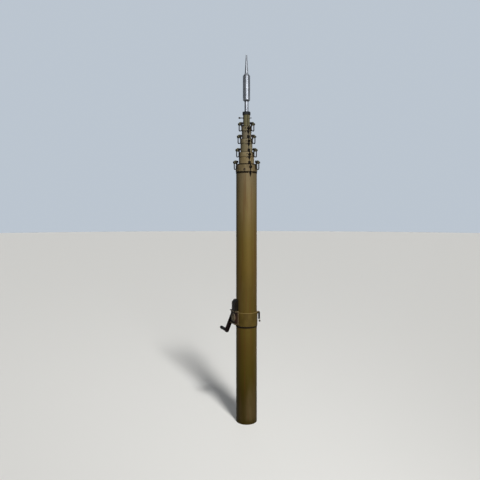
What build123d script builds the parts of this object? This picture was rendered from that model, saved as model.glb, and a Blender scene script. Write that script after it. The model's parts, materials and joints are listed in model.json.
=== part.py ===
from build123d import *
import os
from math import cos, radians, sin

os.makedirs("parts", exist_ok=True)

# Telescopic mast, retracted, with an air terminal on its head. Millimetres.
# +Z runs up the mast, and the origin is the centre of the base tube's lower end.
# An azimuth of 0 faces the front (-Y), and 90 faces +X.

# Tubes, from the base tube to the innermost section
base_tube_dia = 140.0
base_tube_wall = 4.0
base_tube_length = 1724.0
section_wall = 3.5
section_1_rise = 84.0
section_2_rise = 91.0
section_3_rise = 85.0
section_4_rise = 81.0
first_foot_gap = 20.0
foot_step = 30.0

# Fits
seat_gap = 0.3
run_gap = 0.3
pin_gap = 0.2
shaft_gap = 0.1

# Head bands, with the slit and the screw ears that let each tube end clamp.
# The lowest band is taller than the upper three, and its tube's relief is longer.
band_height = 44.0
upper_band_height = 28.0
band_thickness = 2.8
band_edge = 0.8
slit_azimuth = 21.0
slit_width = 5.0
relief_top_radius = 10.0
relief_tip_radius = 1.8
relief_drop = 4.0
relief_length = 36.0
upper_relief_length = 24.0
ear_radius = 9.0
ear_reach = 8.0
ear_thickness = 5.0
ear_drop = 15.0
ear_screw_dia = 5.0
ear_screw_reach = 3.8

# Guide bushes in the tube heads, and guide rings on the section feet.
# Each bush's wall sets how much slimmer the next section is.
bush_0_wall = 13.9
bush_1_wall = 6.9
bush_2_wall = 4.4
bush_3_wall = 4.9
bush_length = 96.0
bush_flange = 3.0
bush_flange_inset = 1.0
key_width = 16.5
key_depth = 6.0
key_height = 21.0
foot_ring_height = 60.0

# Guy lugs and shackles, three to a band
guy_azimuths = {"left": -60.0, "right": 60.0, "back": 180.0}
lug_reach = 14.5
lug_rise = 17.0
lug_thickness = 8.0
lug_eye_radius = 12.0
lug_neck_angle = 20.0
lug_foot = 8.0
shackle_pin_dia = 8.0
shackle_bar_dia = 7.0
shackle_inner_width = 30.0
shackle_length = 47.0
shackle_corner_radius = 9.0
shackle_eye_dia = 16.0
shackle_eye_width = 9.0
shackle_head_dia = 14.0
shackle_head_length = 4.0

# Base plug
plug_height = 40.0
plug_floor = 14.0
plug_wall = 6.0

# Clamp sleeve low on the base tube, with its lever
sleeve_bottom = 648.0
sleeve_height = 90.0
sleeve_thickness = 3.7
sleeve_edge = 1.0
sleeve_slit_width = 6.0
lever_azimuth = 90.0
lever_pivot_reach = 11.2
lever_pivot_drop = 7.0
lever_pin_dia = 5.0
lever_barrel_dia = 12.0
lever_width = 14.0
lever_thickness = 12.0
lever_length = 42.0
lever_neck_dia = 5.0
lever_knob_dia = 13.5
lever_knob_reach = 3.0
lever_ear_thickness = 4.0
lever_ear_gap = 1.0

# Winch on the sleeve: bracket, gear case, crank and the rope guard above it
winch_azimuth = -65.0
bracket_drop = 79.0
bracket_height = 88.0
bracket_back = 24.0
bracket_front = 66.0
bracket_reach = 22.0
bracket_plate = 5.0
bracket_wrap = 24.0
case_inset = 5.0
case_corner = 8.0
shaft_inset = 30.0
shaft_drop = 44.0
shaft_dia = 16.0
shaft_depth = 16.0
boss_dia = 22.0
boss_length = 12.0
boss_root = 3.0
boss_gap = 0.6
crank_clearance = 5.8
crank_length = 109.0
crank_tilt = 23.0
crank_thickness = 9.0
crank_hub_radius = 15.0
crank_end_radius = 14.5
crank_nut_dia = 22.0
crank_nut_length = 6.0
grip_pin_dia = 9.0
grip_length = 92.0
grip_dia = 23.0
grip_waist = 2.0
grip_waist_at = 57.0
grip_washer_dia = 16.0
grip_washer_length = 3.0
guard_gap = 7.0
guard_height = 67.0
guard_back = 16.0
guard_front = 40.0
guard_reach = 22.0
guard_bevel = 17.0

# Head fitting, locking pin and air terminal
flange_reach = 4.0
flange_height = 20.0
spigot_length = 70.0
lock_pin_dia = 6.0
lock_pin_drop = 20.0
lock_pin_tail = 11.0
lock_knob_gap = 18.0
lock_knob_dia = 11.0
lock_knob_length = 13.0
lock_knob_round = 2.6
rod_dia = 27.0
rod_length = 70.0
terminal_dia = 49.0
terminal_length = 172.0
terminal_chamfer_length = 11.0
shoulder_length = 20.0
tip_dia = 23.0
tip_end_dia = 9.0
tip_length = 128.0

outer_radius = [base_tube_dia / 2]
inner_radius = [base_tube_dia / 2 - base_tube_wall]
for bush_wall in (bush_0_wall, bush_1_wall, bush_2_wall, bush_3_wall):
    outer_radius.append(inner_radius[-1] - seat_gap - bush_wall - run_gap)
    inner_radius.append(outer_radius[-1] - section_wall)
head_z = [base_tube_length]
for rise in (section_1_rise, section_2_rise, section_3_rise, section_4_rise):
    head_z.append(head_z[-1] + rise)
first_foot_z = plug_height + first_foot_gap
foot_z = [0.0] + [first_foot_z + step * foot_step for step in range(4)]
top_section = len(outer_radius) - 1
band_heights = [band_height] + (top_section - 1) * [upper_band_height]
relief_lengths = [relief_length] + (top_section - 1) * [upper_relief_length]


def outward(azimuth):
    """Direction away from the mast's axis."""
    return Vector(sin(radians(azimuth)), -cos(radians(azimuth)), 0)


def around(azimuth):
    """Direction along the tube's girth, to the right as seen from outside."""
    return Vector(cos(radians(azimuth)), sin(radians(azimuth)), 0)


def facing_plane(azimuth, z, reach=0.0):
    """Upright plane that faces outward: X runs around the tube, Y up, Z outward."""
    origin = outward(azimuth) * reach + Vector(0, 0, z)
    return Plane(origin=origin, x_dir=around(azimuth), z_dir=outward(azimuth))


def cheek_plane(azimuth, z, reach=0.0):
    """Upright plane through the mast's axis: X runs outward, Y up, Z back around the tube."""
    origin = outward(azimuth) * reach + Vector(0, 0, z)
    return Plane(origin=origin, x_dir=outward(azimuth), z_dir=around(azimuth) * -1)


def save(part, node):
    part.label = node
    export_step(part, f"parts/{node}.step")


def build_tube(level):
    """A drawn tube. Every tube but the innermost has a clamping slit in its head."""
    with BuildPart() as tube:
        with BuildSketch(Plane.XY.offset(foot_z[level])):
            Circle(outer_radius[level])
            Circle(inner_radius[level], mode=Mode.SUBTRACT)
        extrude(amount=head_z[level] - foot_z[level])
        if level < top_section:
            slit_length = band_heights[level] + relief_drop
            with BuildSketch(facing_plane(slit_azimuth, head_z[level])):
                with Locations((0, -slit_length)):
                    Circle(relief_top_radius)
                with Locations((0, -band_heights[level] - relief_lengths[level])):
                    Circle(relief_tip_radius)
                make_hull()
                with Locations((0, -slit_length / 2)):
                    Rectangle(slit_width, slit_length)
            extrude(amount=outer_radius[level] + band_thickness, mode=Mode.SUBTRACT)
        else:
            with BuildSketch(Plane.YZ):
                with Locations((0, head_z[level] - lock_pin_drop)):
                    Circle(lock_pin_dia / 2 + pin_gap)
            extrude(amount=base_tube_dia, both=True, mode=Mode.SUBTRACT)
    return tube.part


def build_band(level):
    """A split clamping band on a tube's head: three guy lugs, and two screw ears at its slit."""
    bore = outer_radius[level] + seat_gap
    rim = bore + band_thickness
    top = head_z[level]
    height = band_heights[level]
    with BuildPart() as band:
        with BuildSketch(Plane.XY.offset(top - height)):
            Circle(rim)
            Circle(bore, mode=Mode.SUBTRACT)
        extrude(amount=height)
        circles = band.edges().filter_by(GeomType.CIRCLE)
        chamfer(circles.filter_by(lambda edge: edge.radius > bore + seat_gap), band_edge)
        eye_reach = outer_radius[level] + lug_reach
        neck_reach = eye_reach - lug_eye_radius * sin(radians(lug_neck_angle))
        neck_rise = lug_rise - lug_eye_radius * cos(radians(lug_neck_angle))
        for azimuth in guy_azimuths.values():
            cheek = cheek_plane(azimuth, top)
            with BuildSketch(cheek.offset(-lug_thickness / 2)):
                with BuildLine():
                    Polyline(
                        (bore + band_thickness / 2, lug_foot - height),
                        (neck_reach, neck_rise),
                        (eye_reach, lug_rise),
                        (eye_reach - lug_eye_radius, lug_rise),
                        (bore + band_thickness / 2, -band_edge),
                        close=True,
                    )
                make_face()
                with Locations((eye_reach, lug_rise)):
                    Circle(lug_eye_radius)
                    Circle(shackle_pin_dia / 2 + pin_gap, mode=Mode.SUBTRACT)
            extrude(amount=lug_thickness)
        ears_width = slit_width + 2 * ear_thickness
        ear_centre = rim + ear_reach - ear_radius
        ear_root = bore + seat_gap
        with BuildSketch(cheek_plane(slit_azimuth, top - ear_drop).offset(-ears_width / 2)):
            with Locations((ear_centre, 0)):
                Circle(ear_radius)
            with Locations(((ear_root + ear_centre) / 2, 0)):
                Rectangle(ear_centre - ear_root, 2 * ear_radius)
            with Locations((ear_root, 0)):
                Rectangle(2 * ear_radius, 2 * ear_radius, align=(Align.MAX, Align.CENTER), mode=Mode.SUBTRACT)
            with Locations((rim + ear_screw_reach, 0)):
                Circle(ear_screw_dia / 2 + pin_gap, mode=Mode.SUBTRACT)
        extrude(amount=ears_width)
        with BuildSketch(facing_plane(slit_azimuth, top - height / 2)):
            Rectangle(slit_width, height + 2 * band_edge)
        extrude(amount=rim + 2 * ear_reach, mode=Mode.SUBTRACT)
    return band.part


def build_bush(level):
    """A guide bush between one tube's head and the next section.

    An upstanding key shows above it, but not on the top bush: the locking pin is there instead.
    """
    running_radius = outer_radius[level + 1] + run_gap
    top = head_z[level]
    with BuildPart() as bush:
        with BuildSketch(Plane.XY.offset(top - bush_length)):
            Circle(inner_radius[level] - seat_gap)
        extrude(amount=bush_length)
        with BuildSketch(Plane.XY.offset(top)):
            Circle(outer_radius[level] - bush_flange_inset)
        extrude(amount=bush_flange)
        if level + 1 < top_section:
            with BuildSketch(facing_plane(slit_azimuth, top + bush_flange)):
                with Locations((0, key_height / 2)):
                    Rectangle(key_width, key_height)
            extrude(amount=running_radius + key_depth)
        with BuildSketch(Plane.XY.offset(top - bush_length)):
            Circle(running_radius)
        extrude(amount=bush_length + bush_flange + key_height, mode=Mode.SUBTRACT)
    return bush.part


def build_foot_ring(level):
    """The guide ring on a section's foot, which runs in the bore of the tube outside it."""
    with BuildPart() as ring:
        with BuildSketch(Plane.XY.offset(foot_z[level])):
            Circle(inner_radius[level - 1] - run_gap)
            Circle(outer_radius[level] + seat_gap, mode=Mode.SUBTRACT)
        extrude(amount=foot_ring_height)
    return ring.part


def build_shackle(level, azimuth):
    """A square shackle that hangs on its pin in a lug's eye."""
    leg_centre = (shackle_inner_width + shackle_bar_dia) / 2
    pivot = facing_plane(azimuth, head_z[level] + lug_rise, outer_radius[level] + lug_reach)
    pin_plane = Plane(origin=pivot.origin, x_dir=pivot.z_dir, z_dir=pivot.x_dir)
    with BuildPart() as shackle:
        with BuildLine(pivot) as bow:
            FilletPolyline(
                (-leg_centre, 0),
                (-leg_centre, -shackle_length),
                (leg_centre, -shackle_length),
                (leg_centre, 0),
                radius=shackle_corner_radius,
            )
        with BuildSketch(Plane(origin=bow.line @ 0, z_dir=bow.line % 0)):
            Circle(shackle_bar_dia / 2)
        sweep()
        for side in (-1, 1):
            with BuildSketch(pin_plane.offset(side * leg_centre - shackle_eye_width / 2)):
                Circle(shackle_eye_dia / 2)
            extrude(amount=shackle_eye_width)
        pin_half = leg_centre + shackle_eye_width / 2 + shackle_head_length
        with BuildSketch(pin_plane.offset(-pin_half)):
            Circle(shackle_pin_dia / 2)
        extrude(amount=2 * pin_half)
        with BuildSketch(pin_plane.offset(pin_half - shackle_head_length)):
            RegularPolygon(shackle_head_dia / 2, 6)
        extrude(amount=shackle_head_length)
    return shackle.part


for level in range(top_section + 1):
    node = "base_tube" if level == 0 else f"section_tube_{level}"
    save(build_tube(level), node)

for level in range(top_section):
    save(build_band(level), f"head_band_{level}")
    save(build_bush(level), f"guide_bush_{level}")
    save(build_foot_ring(level + 1), f"foot_ring_{level + 1}")
    for side, azimuth in guy_azimuths.items():
        save(build_shackle(level, azimuth), f"shackle_{level}_{side}")

# Base plug: closes the lower end, and its underside is the mast's foot
with BuildPart() as base_plug:
    with BuildSketch():
        Circle(inner_radius[0] - seat_gap)
    extrude(amount=plug_height)
    with BuildSketch(Plane.XY.offset(plug_floor)):
        Circle(inner_radius[0] - seat_gap - plug_wall)
    extrude(amount=plug_height - plug_floor, mode=Mode.SUBTRACT)
save(base_plug.part, "base_plug")

# Clamp sleeve: a split ring with two ears for the clamp lever
sleeve_bore = outer_radius[0] + seat_gap
sleeve_rim = sleeve_bore + sleeve_thickness
sleeve_top = sleeve_bottom + sleeve_height
lever_reach = sleeve_rim + lever_pivot_reach
lever_z = sleeve_top - lever_pivot_drop
ear_inner = lever_width / 2 + lever_ear_gap
with BuildPart() as clamp_sleeve:
    with BuildSketch(Plane.XY.offset(sleeve_bottom)):
        Circle(sleeve_rim)
        Circle(sleeve_bore, mode=Mode.SUBTRACT)
    extrude(amount=sleeve_height)
    outer_edges = clamp_sleeve.edges().filter_by(GeomType.CIRCLE).filter_by(
        lambda edge: edge.radius > sleeve_bore + seat_gap
    )
    chamfer(outer_edges, sleeve_edge)
    with BuildSketch(facing_plane(lever_azimuth, sleeve_bottom + sleeve_height / 2)):
        Rectangle(sleeve_slit_width, sleeve_height + 2 * sleeve_edge)
    extrude(amount=sleeve_rim + sleeve_thickness, mode=Mode.SUBTRACT)
    for inner_face in (ear_inner, -ear_inner - lever_ear_thickness):
        with BuildSketch(cheek_plane(lever_azimuth, lever_z).offset(inner_face)):
            with Locations((lever_reach, 0)):
                Circle(lever_barrel_dia / 2)
            with Locations(((sleeve_bore + sleeve_thickness / 2 + lever_reach) / 2, 0)):
                Rectangle(lever_reach - sleeve_bore - sleeve_thickness / 2, lever_barrel_dia)
            with Locations((lever_reach, 0)):
                Circle(lever_pin_dia / 2 + pin_gap, mode=Mode.SUBTRACT)
        extrude(amount=lever_ear_thickness)
save(clamp_sleeve.part, "clamp_sleeve")

# Clamp lever: hangs from its pin between the sleeve's ears, with a knob at the end
knob_z = lever_z - lever_length - lever_knob_dia - lever_neck_dia / 2
with BuildPart() as clamp_lever:
    with BuildSketch(cheek_plane(lever_azimuth, lever_z).offset(-lever_width / 2)):
        with Locations((lever_reach, 0)):
            Circle(lever_barrel_dia / 2)
        with Locations((lever_reach, -lever_length / 2)):
            Rectangle(lever_thickness, lever_length)
    extrude(amount=lever_width)
    with BuildSketch(cheek_plane(lever_azimuth, lever_z).offset(-ear_inner - lever_ear_thickness)):
        with Locations((lever_reach, 0)):
            Circle(lever_pin_dia / 2)
    extrude(amount=2 * (ear_inner + lever_ear_thickness))
    with BuildSketch(Plane(origin=outward(lever_azimuth) * lever_reach + Vector(0, 0, lever_z - lever_length))):
        Circle(lever_neck_dia / 2)
    extrude(amount=knob_z - (lever_z - lever_length))
    with Locations(outward(lever_azimuth) * (lever_reach + lever_knob_reach) + Vector(0, 0, knob_z)):
        Sphere(lever_knob_dia / 2)
save(clamp_lever.part, "clamp_lever")

# Winch bracket: a saddle on the sleeve between an upper and a lower flange
bracket_bottom = sleeve_top - bracket_drop
bracket_top = bracket_bottom + bracket_height
bracket_rim = sleeve_rim + bracket_reach
saddle_bore = sleeve_rim + seat_gap
bracket_inner = saddle_bore - bracket_wrap


def winch_plan(z):
    """Level plane at the winch: X runs outward, Y along the girth away from the crank."""
    return Plane(origin=(0, 0, z), x_dir=outward(winch_azimuth), z_dir=(0, 0, 1))


with BuildPart() as winch_bracket:
    with BuildSketch(winch_plan(bracket_bottom)):
        with Locations(((bracket_inner + bracket_rim) / 2, (bracket_back - bracket_front) / 2)):
            RectangleRounded(bracket_rim - bracket_inner, bracket_back + bracket_front, case_corner)
        Circle(saddle_bore, mode=Mode.SUBTRACT)
    extrude(amount=bracket_height)
    with BuildSketch(winch_plan(bracket_bottom + bracket_plate)):
        with Locations(((bracket_inner + bracket_rim) / 2, (bracket_back - bracket_front) / 2)):
            Rectangle(bracket_rim, 2 * (bracket_back + bracket_front))
        Circle(saddle_bore + bracket_plate, mode=Mode.SUBTRACT)
    extrude(amount=bracket_height - 2 * bracket_plate, mode=Mode.SUBTRACT)
save(winch_bracket.part, "winch_bracket")

# Gear case: a rounded block between the flanges, with a boss round the crank shaft
shaft_z = bracket_top - shaft_drop
shaft_reach = bracket_rim - shaft_inset
case_front = bracket_front - case_inset
boss_face = case_front + boss_length
with BuildPart() as gear_case:
    with BuildSketch(winch_plan(bracket_bottom + bracket_plate)):
        with Locations(((bracket_inner + bracket_rim) / 2, (bracket_back - bracket_front) / 2)):
            RectangleRounded(
                bracket_rim - bracket_inner - 2 * case_inset,
                bracket_back + bracket_front - 2 * case_inset,
                case_corner,
            )
        Circle(saddle_bore + bracket_plate + seat_gap, mode=Mode.SUBTRACT)
    extrude(amount=bracket_height - 2 * bracket_plate)
    with BuildSketch(cheek_plane(winch_azimuth, shaft_z, shaft_reach).offset(case_front - boss_root)):
        Circle(boss_dia / 2)
    extrude(amount=boss_length + boss_root)
    with BuildSketch(cheek_plane(winch_azimuth, shaft_z, shaft_reach).offset(boss_face - shaft_depth)):
        Circle(shaft_dia / 2 + shaft_gap)
    extrude(amount=shaft_depth, mode=Mode.SUBTRACT)
save(gear_case.part, "gear_case")

# Crank: shaft, arm, nut and the pin that carries the grip
arm_face = max(sleeve_rim + crank_clearance, boss_face + boss_gap)
arm_outer = arm_face + crank_thickness
shaft_plane = cheek_plane(winch_azimuth, shaft_z, shaft_reach)
arm_end = (crank_length * sin(radians(crank_tilt)), -crank_length * cos(radians(crank_tilt)))
grip_start = arm_outer + grip_washer_length
with BuildPart() as crank_arm:
    with BuildSketch(shaft_plane.offset(arm_face)):
        Circle(crank_hub_radius)
        with Locations(arm_end):
            Circle(crank_end_radius)
        make_hull()
    extrude(amount=crank_thickness)
    with BuildSketch(shaft_plane.offset(boss_face - shaft_depth + shaft_gap)):
        Circle(shaft_dia / 2)
    extrude(amount=arm_face - boss_face + shaft_depth - shaft_gap)
    with BuildSketch(shaft_plane.offset(arm_outer)):
        RegularPolygon(crank_nut_dia / 2, 6)
        with Locations(arm_end):
            Circle(grip_washer_dia / 2)
    extrude(amount=grip_washer_length)
    with BuildSketch(shaft_plane.offset(arm_outer + grip_washer_length)):
        RegularPolygon(crank_nut_dia / 2, 6)
    extrude(amount=crank_nut_length - grip_washer_length)
    with BuildSketch(shaft_plane.offset(grip_start)):
        with Locations(arm_end):
            Circle(grip_pin_dia / 2)
    extrude(amount=grip_length + 2 * seat_gap)
    with BuildSketch(shaft_plane.offset(grip_start + grip_length + 2 * seat_gap)):
        with Locations(arm_end):
            Circle(grip_washer_dia / 2)
    extrude(amount=grip_washer_length)
save(crank_arm.part, "crank_arm")

# Crank grip: a turned handle with a slight waist, free to turn on its pin
grip_radius = grip_dia / 2
grip_bore = grip_pin_dia / 2 + pin_gap
grip_axis = shaft_plane.offset(grip_start + seat_gap)
grip_origin = grip_axis.from_local_coords(Vector(arm_end[0], arm_end[1], 0))
grip_profile_plane = Plane(origin=grip_origin, x_dir=grip_axis.x_dir, z_dir=grip_axis.y_dir * -1)
with BuildPart() as crank_grip:
    with BuildSketch(grip_profile_plane):
        with BuildLine():
            Line((grip_bore, 0), (grip_radius - grip_waist, 0))
            ThreePointArc(
                (grip_radius - grip_waist, 0),
                (grip_radius, grip_waist_at / 2),
                (grip_radius - grip_waist, grip_waist_at),
            )
            ThreePointArc(
                (grip_radius - grip_waist, grip_waist_at),
                (grip_radius, (grip_waist_at + grip_length) / 2),
                (grip_radius - grip_waist, grip_length),
            )
            Line((grip_radius - grip_waist, grip_length), (grip_bore, grip_length))
            Line((grip_bore, grip_length), (grip_bore, 0))
        make_face()
    revolve(axis=Axis(grip_origin, grip_axis.z_dir))
save(crank_grip.part, "crank_grip")

# Rope guard: a bevelled cover on the base tube, above the winch bracket
guard_bottom = bracket_top + guard_gap
guard_bore = outer_radius[0] + seat_gap
guard_rim = outer_radius[0] + guard_reach
guard_centre = ((bracket_inner + guard_rim) / 2, (guard_back - guard_front) / 2)
with BuildPart() as rope_guard:
    with BuildSketch(winch_plan(guard_bottom)):
        with Locations(guard_centre):
            RectangleRounded(guard_rim - bracket_inner, guard_back + guard_front, case_corner / 2)
        Circle(guard_bore, mode=Mode.SUBTRACT)
    extrude(amount=guard_height)
    with BuildSketch(cheek_plane(winch_azimuth, guard_bottom + guard_height).offset(-guard_back)):
        with BuildLine():
            Polyline(
                (guard_rim, 0),
                (guard_rim, -guard_bevel),
                (guard_rim - guard_bevel, 0),
                close=True,
            )
        make_face()
    extrude(amount=guard_back + guard_front, mode=Mode.SUBTRACT)
save(rope_guard.part, "rope_guard")

# Head fitting: a flange on the innermost section, with a spigot in its bore
flange_z = head_z[top_section]
lock_pin_z = flange_z - lock_pin_drop
lock_pin_plane = Plane(origin=(0, 0, lock_pin_z), x_dir=(0, 1, 0), z_dir=(1, 0, 0))
lock_knob_outer = outer_radius[top_section] + lock_knob_gap + lock_knob_length
flange_radius = outer_radius[top_section] + flange_reach
with BuildPart() as head_fitting:
    with BuildSketch(Plane.XY.offset(flange_z)):
        Circle(flange_radius)
    extrude(amount=flange_height)
    chamfer(head_fitting.edges().group_by(Axis.Z)[-1], band_edge)
    with BuildSketch(Plane.XY.offset(flange_z - spigot_length)):
        Circle(inner_radius[top_section] - seat_gap)
    extrude(amount=spigot_length)
    with BuildSketch(lock_pin_plane):
        Circle(lock_pin_dia / 2 + pin_gap)
    extrude(amount=flange_radius, both=True, mode=Mode.SUBTRACT)
save(head_fitting.part, "head_fitting")

# Locking pin: passes through the innermost section and the spigot
with BuildPart() as lock_pin:
    with BuildSketch(lock_pin_plane.offset(-lock_knob_outer)):
        Circle(lock_knob_dia / 2)
    extrude(amount=lock_knob_length)
    fillet(lock_pin.edges().filter_by(GeomType.CIRCLE), lock_knob_round)
    with BuildSketch(lock_pin_plane.offset(lock_knob_length - lock_knob_outer)):
        Circle(lock_pin_dia / 2)
    extrude(amount=lock_knob_gap + 2 * outer_radius[top_section] + lock_pin_tail)
save(lock_pin.part, "lock_pin")

# Air terminal: rod, body, conical shoulder and tapered tip
rod_z = flange_z + flange_height
body_z = rod_z + rod_length
shoulder_z = body_z + terminal_length
tip_z = shoulder_z + shoulder_length
with BuildPart() as terminal_rod:
    with BuildSketch(Plane.XY.offset(rod_z)):
        Circle(rod_dia / 2)
    extrude(amount=rod_length)
save(terminal_rod.part, "terminal_rod")

with BuildPart() as terminal_body:
    with BuildSketch(Plane.XZ):
        with BuildLine():
            Polyline(
                (0, body_z),
                (rod_dia / 2 + seat_gap, body_z),
                (terminal_dia / 2, body_z + terminal_chamfer_length),
                (terminal_dia / 2, shoulder_z),
                (0, shoulder_z),
                close=True,
            )
        make_face()
    revolve(axis=Axis.Z)
save(terminal_body.part, "terminal_body")

with BuildPart() as terminal_shoulder:
    with BuildSketch(Plane.XY.offset(shoulder_z)):
        Circle(terminal_dia / 2)
    with BuildSketch(Plane.XY.offset(tip_z)):
        Circle(tip_dia / 2)
    loft()
save(terminal_shoulder.part, "terminal_shoulder")

with BuildPart() as terminal_tip:
    with BuildSketch(Plane.XZ):
        with BuildLine():
            Line((0, tip_z), (tip_dia / 2, tip_z))
            Line((tip_dia / 2, tip_z), (tip_end_dia / 2, tip_z + tip_length - tip_end_dia / 2))
            RadiusArc(
                (tip_end_dia / 2, tip_z + tip_length - tip_end_dia / 2),
                (0, tip_z + tip_length),
                -tip_end_dia / 2,
            )
            Line((0, tip_z + tip_length), (0, tip_z))
        make_face()
    revolve(axis=Axis.Z)
save(terminal_tip.part, "terminal_tip")
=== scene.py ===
# %% [markdown]
# # A telescopic mast, dressed for its portrait
#
# The real object is a field mast: five drawn tubes that slide out of each other, with a split band on the
# head of each tube but the last, guy shackles on the bands, a hand winch low on the side, and a pointed air
# terminal on top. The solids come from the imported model, which fixes where everything is. This file gives
# each surface its finish and adds the small fasteners that the solids leave out.
#
# The model's own pieces could be rebuilt here as meshes. They aren't, because their shape is right: they
# only need better materials. New meshes are made only for screws, welds, split pins and the like.

import json
from math import asin, cos, degrees, pi, radians, sin, sqrt

import bmesh
import bpy
from mathutils import Matrix, Vector


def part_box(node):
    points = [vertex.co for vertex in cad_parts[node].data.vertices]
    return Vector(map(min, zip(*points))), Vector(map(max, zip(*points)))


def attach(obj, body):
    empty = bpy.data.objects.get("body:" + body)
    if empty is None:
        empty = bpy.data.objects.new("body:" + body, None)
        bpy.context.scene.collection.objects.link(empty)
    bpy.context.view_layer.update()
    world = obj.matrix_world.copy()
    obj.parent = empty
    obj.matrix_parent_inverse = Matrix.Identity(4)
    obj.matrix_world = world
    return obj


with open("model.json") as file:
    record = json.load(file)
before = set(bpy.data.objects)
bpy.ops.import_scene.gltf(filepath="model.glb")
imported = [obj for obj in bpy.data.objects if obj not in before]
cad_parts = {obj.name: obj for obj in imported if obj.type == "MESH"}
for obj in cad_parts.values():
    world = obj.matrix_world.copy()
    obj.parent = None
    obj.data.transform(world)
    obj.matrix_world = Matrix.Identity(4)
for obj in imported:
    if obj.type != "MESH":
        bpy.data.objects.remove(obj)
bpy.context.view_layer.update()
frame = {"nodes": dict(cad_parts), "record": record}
scene = bpy.context.scene
MM = 0.001

# %% [markdown]
# ## Sizes from the frame
#
# Screws and welds sit on bands whose size is already fixed, so their places are worked out from the nodes'
# boxes. Only what no box tells, such as a band's wall, is typed in here. Level 0 is the base tube, and
# level 4 the innermost section. Directions round the mast are azimuths: 0 faces the camera and 90 faces +X,
# as in the solids.

# %% Tube radii, head heights and directions
LEVELS = range(5)
BAND_LEVELS = LEVELS[:4]
tube_nodes = ["base_tube"] + [f"section_tube_{level}" for level in LEVELS[1:]]
tube_bodies = ["base"] + [f"section_{level}" for level in LEVELS[1:]]
tube_radius = []
head_z = []
for node in tube_nodes:
    low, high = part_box(node)
    tube_radius.append((high.x - low.x) / 2)
    head_z.append(high.z)
BAND_WALL = 3.1 * MM
band_radius = [radius + BAND_WALL for radius in tube_radius]


def outward(azimuth):
    """Direction away from the mast's axis."""
    return Vector((sin(radians(azimuth)), -cos(radians(azimuth)), 0.0))


def around(azimuth):
    """Direction along the tube's girth, to the right as seen from outside."""
    return Vector((cos(radians(azimuth)), sin(radians(azimuth)), 0.0))


def seat(origin, normal, up=Vector((0, 0, 1))):
    """A placing matrix: local Z goes along normal, and local Y as near to up as it can."""
    z_axis = Vector(normal).normalized()
    x_axis = Vector(up).cross(z_axis).normalized()
    y_axis = z_axis.cross(x_axis)
    turn = Matrix((x_axis, y_axis, z_axis)).transposed().to_4x4()
    return Matrix.Translation(origin) @ turn


print("tube radii, mm:", [round(radius / MM, 1) for radius in tube_radius])
print("heads, mm:", [round(z / MM) for z in head_z])

# %% [markdown]
# ## Camera
#
# The photo was taken from about three metres away, with the camera level at chest height: the horizon is a
# straight line, and upright edges stay parallel. A level camera with a small vertical shift keeps that,
# where a tilted one would make them converge. The camera comes first, so that every later step can be
# judged through it.

# %% Level camera at the photo's angle
CAMERA_PLACE = (-43.9 * MM, -3180.0 * MM, 1382.0 * MM)
camera_data = bpy.data.cameras.new("portrait_camera")
camera_data.lens = 35.25
camera_data.sensor_width = 36.0
camera_data.shift_y = -0.05
camera = bpy.data.objects.new("portrait_camera", camera_data)
camera.location = CAMERA_PLACE
camera.rotation_euler = (radians(90), 0, 0)
scene.collection.objects.link(camera)
scene.camera = camera
print("camera at", CAMERA_PLACE)

# %% [markdown]
# ## Nodes from a script
#
# Materials, the world and Geometry Nodes are all trees of nodes. By hand, a node takes one line to add it
# and one more for each setting and link. One helper does it all: an input gets either a plain value or
# another node's output.

# %% Helpers for every node tree


def feed(tree, socket, value):
    """Puts a plain value on an input, or links another node's output to it."""
    if isinstance(value, bpy.types.NodeSocket):
        tree.links.new(value, socket)
    else:
        socket.default_value = value


def add_node(tree, kind, inputs, **settings):
    """Adds a node, feeds its inputs by name or number, and returns its outputs."""
    node = tree.nodes.new(kind)
    for key, value in settings.items():
        setattr(node, key, value)
    for socket, value in inputs.items():
        feed(tree, node.inputs[socket], value)
    return node.outputs


def mixed(tree, share, first, second):
    """The first colour, going to the second as share goes from 0 to 1."""
    return add_node(tree, "ShaderNodeMix", {0: share, 6: first, 7: second}, data_type="RGBA")[2]


def larger(tree, first, second):
    """The larger of two values."""
    return add_node(tree, "ShaderNodeMath", {0: first, 1: second}, operation="MAXIMUM")[0]


def seen_rays(tree):
    """1 for rays that see a thing, straight, reflected or through glass, and 0 for rays that light it."""
    ray = add_node(tree, "ShaderNodeLightPath", {})
    straight_or_reflected = larger(tree, ray["Is Camera Ray"], ray["Is Glossy Ray"])
    return larger(tree, straight_or_reflected, ray["Is Transmission Ray"])


print("node helpers ready")

# %% [markdown]
# ## Stage and light
#
# The photo has sun from the front and a little from the right, high up: the tubes are brightest just right
# of their middle and fall off fast to both edges. A soft sun does the same in the studio, and a tall soft
# box beside the camera puts one upright highlight on the paint and the bare metal. Its beam is narrowed, so
# that it lights the mast more than the floor.
#
# Floor and world are pale to rays that see them, and dark to rays that would light the mast, so that the
# background stays pale while little light comes back to fill the edges. Reflections see the world's pale
# card only behind the mast, and dim sides elsewhere: that gives the bare metal its dark edges. A weak lamp
# behind the mast, without shadow or highlight, keeps its back from being lost in shade.

# %% Floor
FLOOR_RADIUS = 40.0
FLOOR_SIDES = 96
FLOOR_PALE = (0.74, 0.74, 0.73, 1.0)
FLOOR_DIM = (0.06, 0.057, 0.05, 1.0)
floor_card = bpy.data.materials.new("floor_card")
floor_card.use_nodes = True
card_shader = floor_card.node_tree.nodes["Principled BSDF"]
card_shader.inputs["Roughness"].default_value = 0.9
card_tone = mixed(floor_card.node_tree, seen_rays(floor_card.node_tree), FLOOR_DIM, FLOOR_PALE)
feed(floor_card.node_tree, card_shader.inputs["Base Color"], card_tone)

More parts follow.
